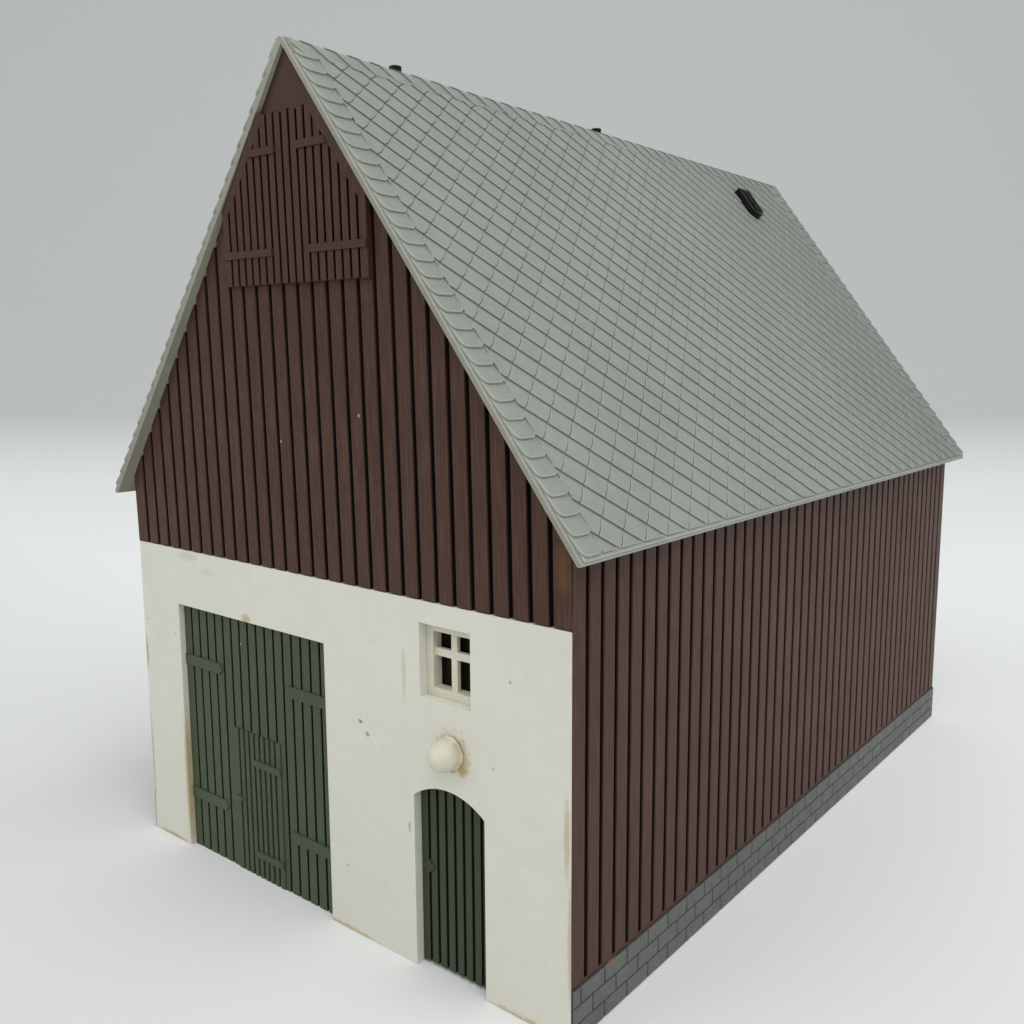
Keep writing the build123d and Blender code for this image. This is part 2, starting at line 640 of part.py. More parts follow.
# Left slope, drilled upright for the two vent pipes
vent_foot = underside(VENT_FROM_RIDGE + VENT_DIAMETER / 2) - VENT_TAIL
vent_top = RIDGE_HEIGHT + VENT_ABOVE_RIDGE
with BuildPart() as roof_left:
    add(left_slope)
    with BuildSketch(Plane.XY.offset(vent_foot)):
        with Locations([(-VENT_FROM_RIDGE, roof_front + y) for y in VENT_STATIONS]):
            Circle(VENT_DIAMETER / 2 + PEG_FIT)
    extrude(amount=vent_top - vent_foot, mode=Mode.SUBTRACT)
roof_left.part.label = "roof_left"

# Roof hatch: rimmed cover with ribs down its pan, on a spigot
with BuildPart() as roof_hatch:
    with BuildSketch(hatch_seat):
        hatch_outline(0)
    extrude(amount=slate_top + HATCH_STAND)
    with BuildSketch(hatch_seat.offset(slate_top + HATCH_STAND)):
        hatch_outline(HATCH_RIM)
        spacing = (HATCH_WIDTH - 2 * HATCH_RIM) / (HATCH_RIBS + 1)
        with Locations((HATCH_STATION, slope_length - HATCH_FROM_RIDGE - HATCH_LENGTH / 2)):
            with GridLocations(spacing, 0, HATCH_RIBS, 1):
                Rectangle(HATCH_RIB, HATCH_LENGTH, mode=Mode.SUBTRACT)
    extrude(amount=-HATCH_PAN, mode=Mode.SUBTRACT)
    with BuildSketch(hatch_seat):
        hatch_outline(HATCH_SPIGOT)
    extrude(amount=-ROOF_SHEET)
roof_hatch.part.label = "roof_hatch"


def vent_pipe(station):
    """Upright pipe through the left slope, with a short bore at its top."""
    centre = (-VENT_FROM_RIDGE, roof_front + station)
    with BuildSketch(Plane.XY.offset(vent_foot)) as pipe:
        with Locations(centre):
            Circle(VENT_DIAMETER / 2)
    extrude(pipe.sketch, amount=vent_top - vent_foot)
    with BuildSketch(Plane.XY.offset(vent_top)) as bore:
        with Locations(centre):
            Circle(VENT_BORE / 2)
    extrude(bore.sketch, amount=-VENT_BORE_DEPTH, mode=Mode.SUBTRACT)


with BuildPart() as vent_pipe_front:
    vent_pipe(VENT_STATIONS[0])
vent_pipe_front.part.label = "vent_pipe_front"

with BuildPart() as vent_pipe_middle:
    vent_pipe(VENT_STATIONS[1])
vent_pipe_middle.part.label = "vent_pipe_middle"

os.makedirs("parts", exist_ok=True)
for piece in (
    front_render_wall,
    front_gable_wall,
    side_wall_right,
    side_wall_left,
    rear_gable_wall,
    plinth_right,
    plinth_left,
    plinth_rear,
    barn_gate,
    arched_door,
    window_frame,
    window_pane,
    lamp_globe,
    roof_right,
    roof_left,
    roof_hatch,
    vent_pipe_front,
    vent_pipe_middle,
):
    export_step(piece.part, f"parts/{piece.part.label}.step")
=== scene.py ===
from math import atan, atan2, cos, pi, radians, sin, tan

import bpy
from mathutils import Matrix, Vector


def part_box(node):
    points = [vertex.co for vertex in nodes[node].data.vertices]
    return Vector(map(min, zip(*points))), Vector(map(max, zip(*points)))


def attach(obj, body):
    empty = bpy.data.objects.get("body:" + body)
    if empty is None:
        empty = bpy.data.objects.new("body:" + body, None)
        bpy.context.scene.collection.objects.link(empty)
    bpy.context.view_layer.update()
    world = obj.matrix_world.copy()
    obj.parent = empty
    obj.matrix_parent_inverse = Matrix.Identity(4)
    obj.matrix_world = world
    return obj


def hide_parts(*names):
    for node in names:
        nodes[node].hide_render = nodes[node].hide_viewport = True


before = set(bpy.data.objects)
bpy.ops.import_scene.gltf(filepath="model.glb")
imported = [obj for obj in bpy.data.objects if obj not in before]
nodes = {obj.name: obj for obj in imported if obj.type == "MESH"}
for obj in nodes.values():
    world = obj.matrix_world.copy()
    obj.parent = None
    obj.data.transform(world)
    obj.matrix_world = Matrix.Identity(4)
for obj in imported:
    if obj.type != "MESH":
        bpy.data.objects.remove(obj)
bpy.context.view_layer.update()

# Camera: low in front of the barn's right-hand corner, where the photograph was taken.
# The small shift keeps the optical axis where it lies in the photograph.
TILT, HEADING = radians(81.74), radians(37.81)
bpy.ops.object.camera_add(
    location=(0.09407, -0.13373, 0.07058), rotation=(TILT, 0, HEADING)
)
camera = bpy.context.object
camera.name = "camera"
camera.data.lens = 34.65
camera.data.sensor_width = 36
camera.data.shift_x = -0.0379
camera.data.shift_y = -0.0138
camera.data.clip_start = 0.005
bpy.context.scene.camera = camera


# Studio: a white sheet that runs from below the barn up into a wall behind it, turned
# square to the camera. A large soft light hangs over the barn on the right and a weaker
# one on the left, and pale air fills the shadows.
def shader(tree, kind, values=(), **settings):
    """Adds a shader node. Its inputs take plain values, or sockets to link to."""
    made = tree.nodes.new(kind)
    for name, value in settings.items():
        setattr(made, name, value)
    for name, value in dict(values).items():
        if isinstance(value, bpy.types.NodeSocket):
            tree.links.new(value, made.inputs[name])
        else:
            made.inputs[name].default_value = value
    return made


def ranged(tree, value, low=0.0, high=1.0, start=0.0, end=1.0):
    """Adds a Map Range node, which turns one range of values into another."""
    limits = {"Value": value, "From Min": low, "From Max": high, "To Min": start, "To Max": end}
    return shader(tree, "ShaderNodeMapRange", limits).outputs["Result"]


def coordinates(tree, axis=None):
    """Place on the object, whole or along one axis."""
    spot = shader(tree, "ShaderNodeTexCoord").outputs["Object"]
    if axis:
        spot = shader(tree, "ShaderNodeSeparateXYZ", {"Vector": spot}).outputs[axis]
    return spot


SWEEP_WIDTH = 4.0
SWEEP_BACK = 0.62             # from the barn to the wall
SWEEP_FRONT = 1.4
SWEEP_RISE = 1.6
SWEEP_BEND = 0.35             # radius between floor and wall
bpy.ops.object.select_all(action="DESELECT")
bpy.ops.mesh.primitive_plane_add(size=1, location=(0, (SWEEP_BACK - SWEEP_FRONT) / 2, 0))
sweep = bpy.context.object
sweep.name = "sweep"
sweep.scale = (SWEEP_WIDTH, SWEEP_BACK + SWEEP_FRONT, 1)
bpy.ops.object.transform_apply(location=True, scale=True)
for face in sweep.data.polygons:
    face.select = False
for vertex in sweep.data.vertices:
    vertex.select = vertex.co.y > SWEEP_BACK - 0.001
for edge in sweep.data.edges:
    edge.select = all(sweep.data.vertices[n].select for n in edge.vertices)
bpy.ops.object.mode_set(mode="EDIT")
bpy.ops.mesh.select_mode(type="EDGE")
bpy.ops.mesh.extrude_region_move(TRANSFORM_OT_translate={"value": (0, 0, SWEEP_RISE)})
bpy.ops.mesh.select_all(action="SELECT")
bpy.ops.mesh.normals_make_consistent(inside=False)
bpy.ops.object.mode_set(mode="OBJECT")
bend = sweep.modifiers.new("bend", "BEVEL")
bend.width = SWEEP_BEND
bend.segments = 24
bend.limit_method = "ANGLE"
bpy.ops.object.modifier_apply(modifier="bend")
bpy.ops.object.shade_smooth()
sweep.rotation_euler = (0, 0, HEADING)
bpy.ops.object.transform_apply(rotation=True)

paper = bpy.data.materials.new("white_sheet")
paper.use_nodes = True
white = paper.node_tree.nodes["Principled BSDF"]
# Painted shade: the sheet is duller in front of the barn, which shades it, and turns grey where it
# bends up into the wall, away from the lights.
painted_barn_shade = ranged(paper.node_tree, coordinates(paper.node_tree, "Y"), -0.10, 0.04, 0.73, 0.95)
rise = ranged(paper.node_tree, coordinates(paper.node_tree, "Z"), 0.0, SWEEP_BEND)
painted_backdrop_falloff = shader(paper.node_tree, "ShaderNodeValToRGB")
painted_backdrop_falloff.color_ramp.elements[0].color = (0.975, 0.99, 0.98, 1)
painted_backdrop_falloff.color_ramp.elements[1].color = (0.57, 0.587, 0.575, 1)
for share, colour in ((0.10, (0.60, 0.617, 0.605, 1)), (0.30, (0.58, 0.595, 0.585, 1))):
    painted_backdrop_falloff.color_ramp.elements.new(share).color = colour
paper.node_tree.links.new(rise, painted_backdrop_falloff.inputs["Fac"])
painted_backdrop_falloff = shader(
    paper.node_tree,
    "ShaderNodeVectorMath",
    {0: painted_backdrop_falloff.outputs["Color"], "Scale": painted_barn_shade},
    operation="SCALE",
)
paper.node_tree.links.new(painted_backdrop_falloff.outputs[0], white.inputs["Base Color"])
white.inputs["Roughness"].default_value = 0.9
sweep.data.materials.append(paper)

sky = bpy.data.worlds.new("pale_air")
bpy.context.scene.world = sky
sky.use_nodes = True
air = sky.node_tree.nodes["Background"]
air.inputs["Color"].default_value = (0.96, 0.98, 1.0, 1)
air.inputs["Strength"].default_value = 0.5

for name, spot, size, power in (
    ("softbox_right", (0.45, -0.18, 0.75), (0.9, 0.7), 4.9),
    ("softbox_left", (-0.45, -0.60, 0.55), (0.8, 0.6), 1.9),
):
    bpy.ops.object.light_add(type="AREA", location=spot)
    softbox = bpy.context.object
    softbox.name = name
    softbox.data.shape = "RECTANGLE"
    softbox.data.size, softbox.data.size_y = size
    softbox.data.energy = power
    aim = Vector((0, 0, 0.05)) - softbox.location
    softbox.rotation_euler = aim.to_track_quat("-Z", "Y").to_euler()

bpy.context.scene.view_settings.view_transform = "Standard"


# Rendered lower part of the front wall: cream styrene, smooth, a little yellowed.
# The mould left its corners slightly round, the glue left brown stains round the lamp
# and down the edges, and the foot is painted darker, as shade from the ground.
def take(piece):
    """Makes one piece the only one selected, and the active one."""
    bpy.ops.object.select_all(action="DESELECT")
    piece.select_set(True)
    bpy.context.view_layer.objects.active = piece


def softened(node, name, radius, steps=2):
    """Copy of a moulded piece with its sharp corners rounded."""
    piece = bpy.data.objects.new(name, nodes[node].data.copy())
    bpy.context.scene.collection.objects.link(piece)
    piece.data.materials.clear()
    take(piece)
    bpy.ops.object.mode_set(mode="EDIT")
    bpy.ops.mesh.select_all(action="SELECT")
    bpy.ops.mesh.customdata_custom_splitnormals_clear()
    bpy.ops.mesh.remove_doubles(threshold=1e-6)
    bpy.ops.mesh.dissolve_limited(angle_limit=radians(0.5))
    bpy.ops.object.mode_set(mode="OBJECT")
    rounding = piece.modifiers.new("rounding", "BEVEL")
    rounding.width = radius
    rounding.segments = steps
    rounding.limit_method = "ANGLE"
    rounding.angle_limit = radians(30)
    bpy.ops.object.modifier_apply(modifier="rounding")
    bpy.ops.object.shade_smooth_by_angle(angle=radians(35))
    evening = piece.modifiers.new("evening", "WEIGHTED_NORMAL")
    evening.keep_sharp = True
    bpy.ops.object.modifier_apply(modifier="evening")
    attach(piece, "root")
    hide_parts(node)
    return piece


# Surface of moulded styrene, which every piece but the pane has: a cloudy tone, the
# fine grain of the mould over a slow swell, and a few specks of dust.
def group(name, inputs, outputs):
    """Starts a shader node group and gives its tree, its input and its output node."""
    tree = bpy.data.node_groups.new(name, "ShaderNodeTree")
    for socket, kind, value in inputs:
        made = tree.interface.new_socket(socket, in_out="INPUT", socket_type=kind)
        made.default_value = value
    for socket, kind in outputs:
        tree.interface.new_socket(socket, in_out="OUTPUT", socket_type=kind)
    return tree, tree.nodes.new("NodeGroupInput"), tree.nodes.new("NodeGroupOutput")


def maths(tree, operation, *values):
    """Adds a Math node for one to three values."""
    return shader(tree, "ShaderNodeMath", enumerate(values), operation=operation).outputs[0]


def cloudy(tree, spot, scale, detail):
    """Adds a noise of a scale in features per metre."""
    noise = {"Vector": spot, "Scale": scale, "Detail": detail}
    return shader(tree, "ShaderNodeTexNoise", noise).outputs["Fac"]


moulded, given, result = group(
    "moulded_surface",
    [("Grain", "NodeSocketFloat", 4000.0), ("Dust", "NodeSocketFloat", 0.1)],
    [("Tone", "NodeSocketFloat"), ("Height", "NodeSocketFloat"), ("Dust", "NodeSocketFloat")],
)
clouds = cloudy(moulded, coordinates(moulded), 70, 4)
mottle = cloudy(moulded, coordinates(moulded), 600, 3)
tone = maths(moulded, "MULTIPLY", maths(moulded, "ADD", clouds, mottle), 0.5)
grain = cloudy(moulded, coordinates(moulded), given.outputs["Grain"], 2)
swell = cloudy(moulded, coordinates(moulded), 350, 2)
height = maths(moulded, "MULTIPLY_ADD", swell, 2.0, grain)
cells = shader(
    moulded,
    "ShaderNodeTexVoronoi",
    {"Vector": coordinates(moulded), "Scale": 420, "Randomness": 1},
)
chance = shader(moulded, "ShaderNodeSeparateColor", {"Color": cells.outputs["Color"]})
rare = maths(moulded, "LESS_THAN", chance.outputs["Red"], given.outputs["Dust"])
speck = ranged(moulded, cells.outputs["Distance"], 0.05, 0.10, 1, 0)
moulded.links.new(tone, result.inputs["Tone"])
moulded.links.new(height, result.inputs["Height"])
moulded.links.new(maths(moulded, "MULTIPLY", rare, speck), result.inputs["Dust"])


# Mark of glue or dirt: a ragged patch round a point, with its reach along each axis.
# A fine noise shifts its edge to and fro.
def vectors(tree, operation, first, second):
    """Adds a Vector Math node for two vectors."""
    values = {0: first, 1: second}
    return shader(tree, "ShaderNodeVectorMath", values, operation=operation).outputs[0]


glue, asked, mask = group(
    "glue_mark",
    [
        ("Centre", "NodeSocketVector", (0, 0, 0)),
        ("Reach", "NodeSocketVector", (0.001, 1, 0.001)),
        ("Ragged", "NodeSocketFloat", 0.001),
        ("Strength", "NodeSocketFloat", 0.5),
    ],
    [("Mask", "NodeSocketFloat")],
)
noise = {"Vector": coordinates(glue), "Scale": 1500, "Detail": 5}
noise = shader(glue, "ShaderNodeTexNoise", noise).outputs["Color"]
noise = vectors(glue, "SUBTRACT", noise, (0.5, 0.5, 0.5))
noise = shader(
    glue, "ShaderNodeVectorMath", {0: noise, "Scale": asked.outputs["Ragged"]}, operation="SCALE"
)
spot = vectors(glue, "SUBTRACT", coordinates(glue), asked.outputs["Centre"])
spot = vectors(glue, "ADD", spot, noise.outputs[0])
spot = vectors(glue, "DIVIDE", spot, asked.outputs["Reach"])
spot = shader(glue, "ShaderNodeVectorMath", {0: spot}, operation="LENGTH").outputs["Value"]
patch = maths(glue, "MULTIPLY", ranged(glue, spot, 0.45, 1.0, 1, 0), asked.outputs["Strength"])
glue.links.new(patch, mask.inputs["Mask"])


def blended(tree, share, below, above):
    """Colour that goes from one colour to another by a mask between 0 and 1."""
    made = tree.nodes.new("ShaderNodeMix")
    made.data_type = "RGBA"
    tree.links.new(share, made.inputs[0])
    for slot, colour in ((6, below), (7, above)):
        if isinstance(colour, bpy.types.NodeSocket):
            tree.links.new(colour, made.inputs[slot])
        else:
            made.inputs[slot].default_value = (*colour, 1)
    return made.outputs[2]


def styrene(name, colour, shade, rough, grain=4000, relief=0.01, dust=0.1, shine=0.5):
    """Plastic that varies from one colour to another, with dust and a relief of so many mm."""
    material = bpy.data.materials.new(name)
    material.use_nodes = True
    tree = material.node_tree
    surface = tree.nodes["Principled BSDF"]
    surface.inputs["Specular IOR Level"].default_value = shine
    face = tree.nodes.new("ShaderNodeGroup")
    face.node_tree = moulded
    face.inputs["Grain"].default_value = grain
    face.inputs["Dust"].default_value = dust
    colours = blended(tree, ranged(tree, face.outputs["Tone"], 0.35, 0.65), colour, shade)
    colours = blended(tree, face.outputs["Dust"], colours, (0.4, 0.38, 0.35))
    tree.links.new(colours, surface.inputs["Base Color"])
    polish = ranged(tree, face.outputs["Tone"], start=rough - 0.08, end=rough + 0.08)
    tree.links.new(polish, surface.inputs["Roughness"])
    bumps = shader(
        tree,
        "ShaderNodeBump",
        {"Height": face.outputs["Height"], "Strength": 1.0, "Distance": relief / 1000},
    )
    tree.links.new(bumps.outputs["Normal"], surface.inputs["Normal"])
    return material


def overlay(material, share, colour, matt=False):
    """Lays a colour over a material where a mask says so, and can take its shine."""
    tree = material.node_tree
    surface = tree.nodes["Principled BSDF"]
    base = surface.inputs["Base Color"]
    tree.links.new(blended(tree, share, base.links[0].from_socket, colour), base)
    if matt:
        rough = surface.inputs["Roughness"]
        tree.links.new(ranged(tree, share, start=rough.links[0].from_socket), rough)


def smear(material, colour, marks):
    """Lays marks over a material: centre x, y, z and reach x, y, z in mm, and strength."""
    for *sizes, strength in marks:
        spot = material.node_tree.nodes.new("ShaderNodeGroup")
        spot.node_tree = glue
        spot.inputs["Centre"].default_value = [size / 1000 for size in sizes[:3]]
        spot.inputs["Reach"].default_value = [size / 1000 for size in sizes[3:]]
        spot.inputs["Ragged"].default_value = 1.2 * min(sizes[3:]) / 1000
        spot.inputs["Strength"].default_value = strength
        overlay(material, spot.outputs["Mask"], colour)


cream = styrene(
    "cream_render", (0.735, 0.73, 0.635), (0.69, 0.685, 0.59), 0.5, relief=0.01, dust=0.06
)
smear(
    cream,
    (0.46, 0.33, 0.13),
    [
        (-39.0, -59.3, 27.5, 0.8, 9, 3.4, 0.9),
        (-39.0, -59.3, 11.0, 0.7, 9, 10.0, 0.7),
        (-29.9, -59.0, 10.0, 0.6, 9, 12.0, 0.75),
        (-34.5, -59.3, -0.1, 5.0, 9, 0.9, 0.85),
        (4.5, -59.3, -0.1, 7.0, 9, 0.8, 0.8),
        (33.0, -59.3, -0.1, 6.5, 9, 0.8, 0.7),
        (38.4, -59.3, 22.5, 0.5, 9, 5.5, 0.55),
        (38.9, -59.3, 11.0, 0.5, 9, 8.0, 0.6),
        (-14.0, -59.3, 36.5, 1.3, 9, 0.7, 0.7),
        (22.8, -59.3, 27.5, 2.9, 9, 2.8, 0.9),
        (24.2, -59.3, 25.9, 0.9, 9, 0.8, 0.95),
        (15.4, -59.3, 35.0, 0.4, 9, 4.0, 0.35),
    ],
)
smear(
    cream,
    (0.12, 0.09, 0.07),
    [
        (7.8, -59.3, 27.7, 0.5, 9, 0.3, 0.7),
        (9.0, -59.3, 26.4, 0.4, 9, 0.4, 0.6),
        (15.8, -59.3, 16.9, 0.3, 9, 0.8, 0.5),
        (-27.0, -59.3, 43.2, 3.0, 9, 0.8, 0.16),
        (-22.0, -59.3, 41.5, 2.0, 9, 0.6, 0.12),
    ],
)
# Painted shade: darker towards the foot, where the ground shuts out light.
painted_foot_shade = ranged(cream.node_tree, coordinates(cream.node_tree, "Z"), 0.0, 0.035, 0.15, 0.0)
overlay(cream, painted_foot_shade, (0.42, 0.40, 0.33))
render_wall = softened("front_render_wall", "render_wall", 0.00012)
render_wall.data.materials.append(cream)

# Boarded walls: dark red-brown styrene with a groove between every two boards, painted near
# black as painted shade and dirt, which gather there. The gable over the render leans a little
# forward, and carries the two loft shutters in relief. Each wall is one moulding, glued at the
# corners.
recess, wanted, found = group(
    "recess",
    [
        ("Normal", "NodeSocketVector", (0, -1, 0)),
        ("Level", "NodeSocketFloat", 0.0),
        ("Depth", "NodeSocketFloat", 0.0004),
    ],
    [("Mask", "NodeSocketFloat")],
)
height = {0: coordinates(recess), 1: wanted.outputs["Normal"]}
height = shader(recess, "ShaderNodeVectorMath", height, operation="DOT_PRODUCT").outputs["Value"]
height = maths(recess, "SUBTRACT", wanted.outputs["Level"], height)
height = maths(recess, "DIVIDE", height, wanted.outputs["Depth"])
recess.links.new(ranged(recess, height, 0.12, 0.55), found.inputs["Mask"])


def hollow(material, normal, level, depth):
    """Mask of what lies deeper than a face of a moulding."""
    made = material.node_tree.nodes.new("ShaderNodeGroup")
    made.node_tree = recess
    made.inputs["Normal"].default_value = normal
    made.inputs["Level"].default_value = level
    made.inputs["Depth"].default_value = depth
    return made.outputs["Mask"]


low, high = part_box("front_render_wall")
FRONT, HALF = low.y, high.x
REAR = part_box("rear_gable_wall")[1].y
SEAM = 0.0441                 # height of the top of the render, where the gable starts
LEAN = radians(1.3)
facing = (0, -cos(LEAN), -sin(LEAN))
gable_level = -FRONT * cos(LEAN) - SEAM * sin(LEAN)
SHUTTERS_WIDE = 0.0126        # each way from the middle of the gable
SHUTTERS_LEVEL, SHUTTERS_TALL = 0.0882, 0.0093    # middle, and each way from there
SHUTTERS_RELIEF = 0.0006
BROWN, BROWN_SHADE = (0.074, 0.033, 0.022), (0.061, 0.027, 0.018)
GROOVE_SHADE_AND_DIRT, WORN, GLUE = (0.003, 0.0015, 0.0015), (0.125, 0.07, 0.055), (0.17, 0.075, 0.025)
PITCH = radians(52.7)
EAVE, RIDGE = 0.0413, 0.1052
EAVE_LEVEL = RIDGE - EAVE * tan(PITCH)
SHEET = 0.0006                # of the roof, from its underside to the foot of the slates
SHEET_LIFT = 0.00027          # towards the slates, which leaves less of their sides to see


def raised(wall):
    """Brings the sloping top of a wall up to the underside of the roof sheet."""
    take(wall)
    for vertex in wall.data.vertices:
        over = sin(PITCH) * (abs(vertex.co.x) - EAVE) + cos(PITCH) * (vertex.co.z - EAVE_LEVEL)
        vertex.select = over + SHEET > -0.00012    # on the slope, or on its rounded corners
    bpy.ops.object.mode_set(mode="EDIT")
    bpy.ops.mesh.select_mode(type="VERT")
    bpy.ops.transform.translate(value=(0, 0, SHEET_LIFT / cos(PITCH)))
    bpy.ops.object.mode_set(mode="OBJECT")


for node, name, normal, level in (
    ("front_gable_wall", "gable_front", facing, gable_level),
    ("side_wall_right", "long_wall_right", (1, 0, 0), HALF),
    ("side_wall_left", "long_wall_left", (-1, 0, 0), HALF),
    ("rear_gable_wall", "gable_rear", (0, 1, 0), REAR),
):
    boards = softened(node, name, 0.00008)
    raised(boards)
    brown = styrene(name + "_brown", BROWN, BROWN_SHADE, 0.5, relief=0.008, dust=0.05, shine=0.2)
    tree = brown.node_tree
    upright = vectors(tree, "MULTIPLY", coordinates(tree), (1, 1, 0.03))
    overlay(brown, ranged(tree, cloudy(tree, upright, 5000, 3), 0.45, 0.8, end=0.7), WORN)
    # Painted shade and dirt in the grooves, which also take away the shine.
    overlay(brown, hollow(brown, normal, level, 0.0004), GROOVE_SHADE_AND_DIRT, matt=True)
    if node == "front_gable_wall":
        # Painted shade darkens it towards the top, where less light falls, and the painted groove
        # shade lies less deep between the boards of the shutters.
        painted_top_shade = ranged(tree, coordinates(tree, "Z"), 0.06, 0.10, end=0.45)
        overlay(brown, painted_top_shade, (0.035, 0.014, 0.009))
        smear(brown, GLUE, [(37.8, -59.3, 50.0, 1.3, 2.0, 3.0, 0.4)])
        wide = maths(tree, "COMPARE", coordinates(tree, "X"), 0, SHUTTERS_WIDE)
        tall = maths(tree, "COMPARE", coordinates(tree, "Z"), SHUTTERS_LEVEL, SHUTTERS_TALL)
        shutters = maths(tree, "MULTIPLY", wide, tall)
        grooves = hollow(brown, normal, level + SHUTTERS_RELIEF, 0.0003)
        overlay(brown, maths(tree, "MULTIPLY", shutters, grooves), GROOVE_SHADE_AND_DIRT)
    if node == "side_wall_right":
        smear(brown, GLUE, [(38.6, -59.2, 50.0, 1.2, 0.8, 2.6, 0.25)])
    boards.data.materials.append(brown)

# Plinth: strips of mid-grey styrene stones in three courses, glued along the walls.
# A drop of brown glue dried on top of the strip near the front corner.
STONE, STONE_SHADE, STONE_JOINT = (0.127, 0.131, 0.124), (0.095, 0.099, 0.093), (0.03, 0.031, 0.029)
PROUD = 0.00025               # of the stones, past the boards above them
for node, name, normal, level in (
    ("plinth_right", "stones_right", (1, 0, 0), HALF + PROUD),
    ("plinth_left", "stones_left", (-1, 0, 0), HALF + PROUD),
    ("plinth_rear", "stones_rear", (0, 1, 0), REAR + PROUD),
):
    strip = softened(node, name, 0.00022, 3)
    stone = styrene(name + "_grey", STONE, STONE_SHADE, 0.6, grain=1500, relief=0.2)
    overlay(stone, hollow(stone, normal, level, 0.00022), STONE_JOINT)
    if node == "plinth_right":
        smear(stone, (0.16, 0.09, 0.05), [(39.2, -52.3, 6.0, 0.7, 0.9, 0.6, 0.95)])
    strip.data.materials.append(stone)

# Gate and arched door: muted green styrene, boards and straps moulded in one.
# Both are glued behind their openings in the render.
GREEN_GROOVE_SHADE_AND_DIRT = (0.008, 0.010, 0.007)
for node, name, depth, colour in (
    ("barn_gate", "gate", 0.00095, Vector((0.067, 0.089, 0.048))),
    # The door's green is darker than the gate's: painted shade for its deeper recess.
    ("arched_door", "door", 0.0012, Vector((0.046, 0.063, 0.033))),
):
    leaf = softened(node, name, 0.00007)
    green = styrene(
        name + "_green", colour, colour * 0.83, 0.45, relief=0.012, dust=0.06, shine=0.2
    )
    # Painted shade and dirt in the grooves of the boards.
    overlay(green, hollow(green, (0, -1, 0), -FRONT - depth + 0.0001, 0.00012), GREEN_GROOVE_SHADE_AND_DIRT)
    leaf.data.materials.append(green)

# Window: cream styrene frame with round-edged bars, set in the opening of the render,
# and a piece of clear sheet glued behind it, tinted near black as painted shade of the empty barn
# beyond.
bars = softened("window_frame", "window_bars", 0.0002, 3)
ivory = styrene(
    "ivory_window", (0.70, 0.685, 0.57), (0.63, 0.60, 0.47), 0.4, relief=0.008, dust=0.03
)
bars.data.materials.append(ivory)

clear = bpy.data.materials.new("clear_pane")
clear.use_nodes = True
pane_surface = clear.node_tree.nodes["Principled BSDF"]
haze = cloudy(clear.node_tree, coordinates(clear.node_tree), 500, 4)
haze = ranged(clear.node_tree, haze, 0.3, 0.7, 0.15, 0.35)
clear.node_tree.links.new(haze, pane_surface.inputs["Alpha"])
# Near-black brown tint: painted shade of the dark barn behind the clear sheet.
pane_surface.inputs["Base Color"].default_value = (0.035, 0.028, 0.014, 1)
pane_surface.inputs["Specular IOR Level"].default_value = 0.15
pane_surface.inputs["Roughness"].default_value = 0.12
pane = nodes["window_pane"]
pane.data.materials.clear()
pane.data.materials.append(clear)

# Lamp: an ivory styrene ball on a collar, with its peg pushed into a hole over the
# arched door. Brown glue came out round the collar.
globe = softened("lamp_globe", "lamp", 0.00015, 3)
ivory = styrene(
    "ivory_lamp", (0.71, 0.685, 0.565), (0.64, 0.60, 0.47), 0.4, relief=0.012, dust=0.05
)
smear(
    ivory,
    (0.42, 0.24, 0.07),
    [(24.6, -59.5, 26.0, 1.0, 0.8, 1.0, 0.9), (24.2, -59.5, 29.0, 1.2, 0.7, 1.2, 0.5)],
)
globe.data.materials.append(ivory)

# Roof: two pale grey-green styrene mouldings that meet at the ridge. Each is a thin sheet
# that carries a raised bed of slates: pointed ones in slanting rows over the field, tongues
# up both verges, and a course along the ridge where each laps over the one before it. One
# is modelled flat: x runs along the eave, y up the slope and z out of it.
low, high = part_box("roof_right")
ROOF_FRONT, ROOF_LENGTH = low.y, high.y - low.y
SLOPE = EAVE / cos(PITCH)
EDGE = 0.0003                 # of the sheet, outside the slates
FOOT = 0.0006                 # from the eave up to the slates
TOP = 0.0008                  # of the slates at their tips, above the sheet
RIM = 0.00009                 # radius of the arrises
HAIR = 0.00001                # keeps the faces of touching pieces out of one plane
# Of these, the arris finish is paler, a painted highlight on the rounded edges, and the joint
# finish darker, painted shade and dirt in the joints.
FACE, ARRIS, JOINT, SIDE = range(4)    # finishes of the slates, in the order of their slots


def cut(piece, point, normal):
    """Cuts a piece by a plane, drops what lies beyond it, and closes the cut."""
    take(piece)
    bpy.ops.object.mode_set(mode="EDIT")
    bpy.ops.mesh.select_mode(type="VERT")
    bpy.ops.mesh.select_all(action="SELECT")
    bpy.ops.mesh.bisect(
        plane_co=point, plane_no=normal, use_fill=True, clear_outer=True, threshold=0.000001
    )
    bpy.ops.object.mode_set(mode="OBJECT")


def roof_plane(x, z, lean):
    """Plane along the whole roof, through a point of the built roof, as the flat slope has it."""
    away, rise = x - EAVE, z - EAVE_LEVEL
    up, out = rise * sin(PITCH) - away * cos(PITCH), away * sin(PITCH) + rise * cos(PITCH)
    turn = PITCH - radians(lean)
    return Vector((0, up, out)), Vector((0, sin(turn), cos(turn)))


def repeated(piece, count, step):
    """Puts copies of a piece in a row."""
    take(piece)
    row = piece.modifiers.new("row", "ARRAY")
    row.count = count
    row.use_relative_offset = False
    row.use_constant_offset = True
    row.constant_offset_displace = step
    bpy.ops.object.modifier_apply(modifier="row")


def finished(piece):
    """Gives a piece of the slope the four finishes."""
    for material in (slate_grey, slate_rim_highlight, slate_joint_shade_and_dirt, slate_side):
        piece.data.materials.append(material)


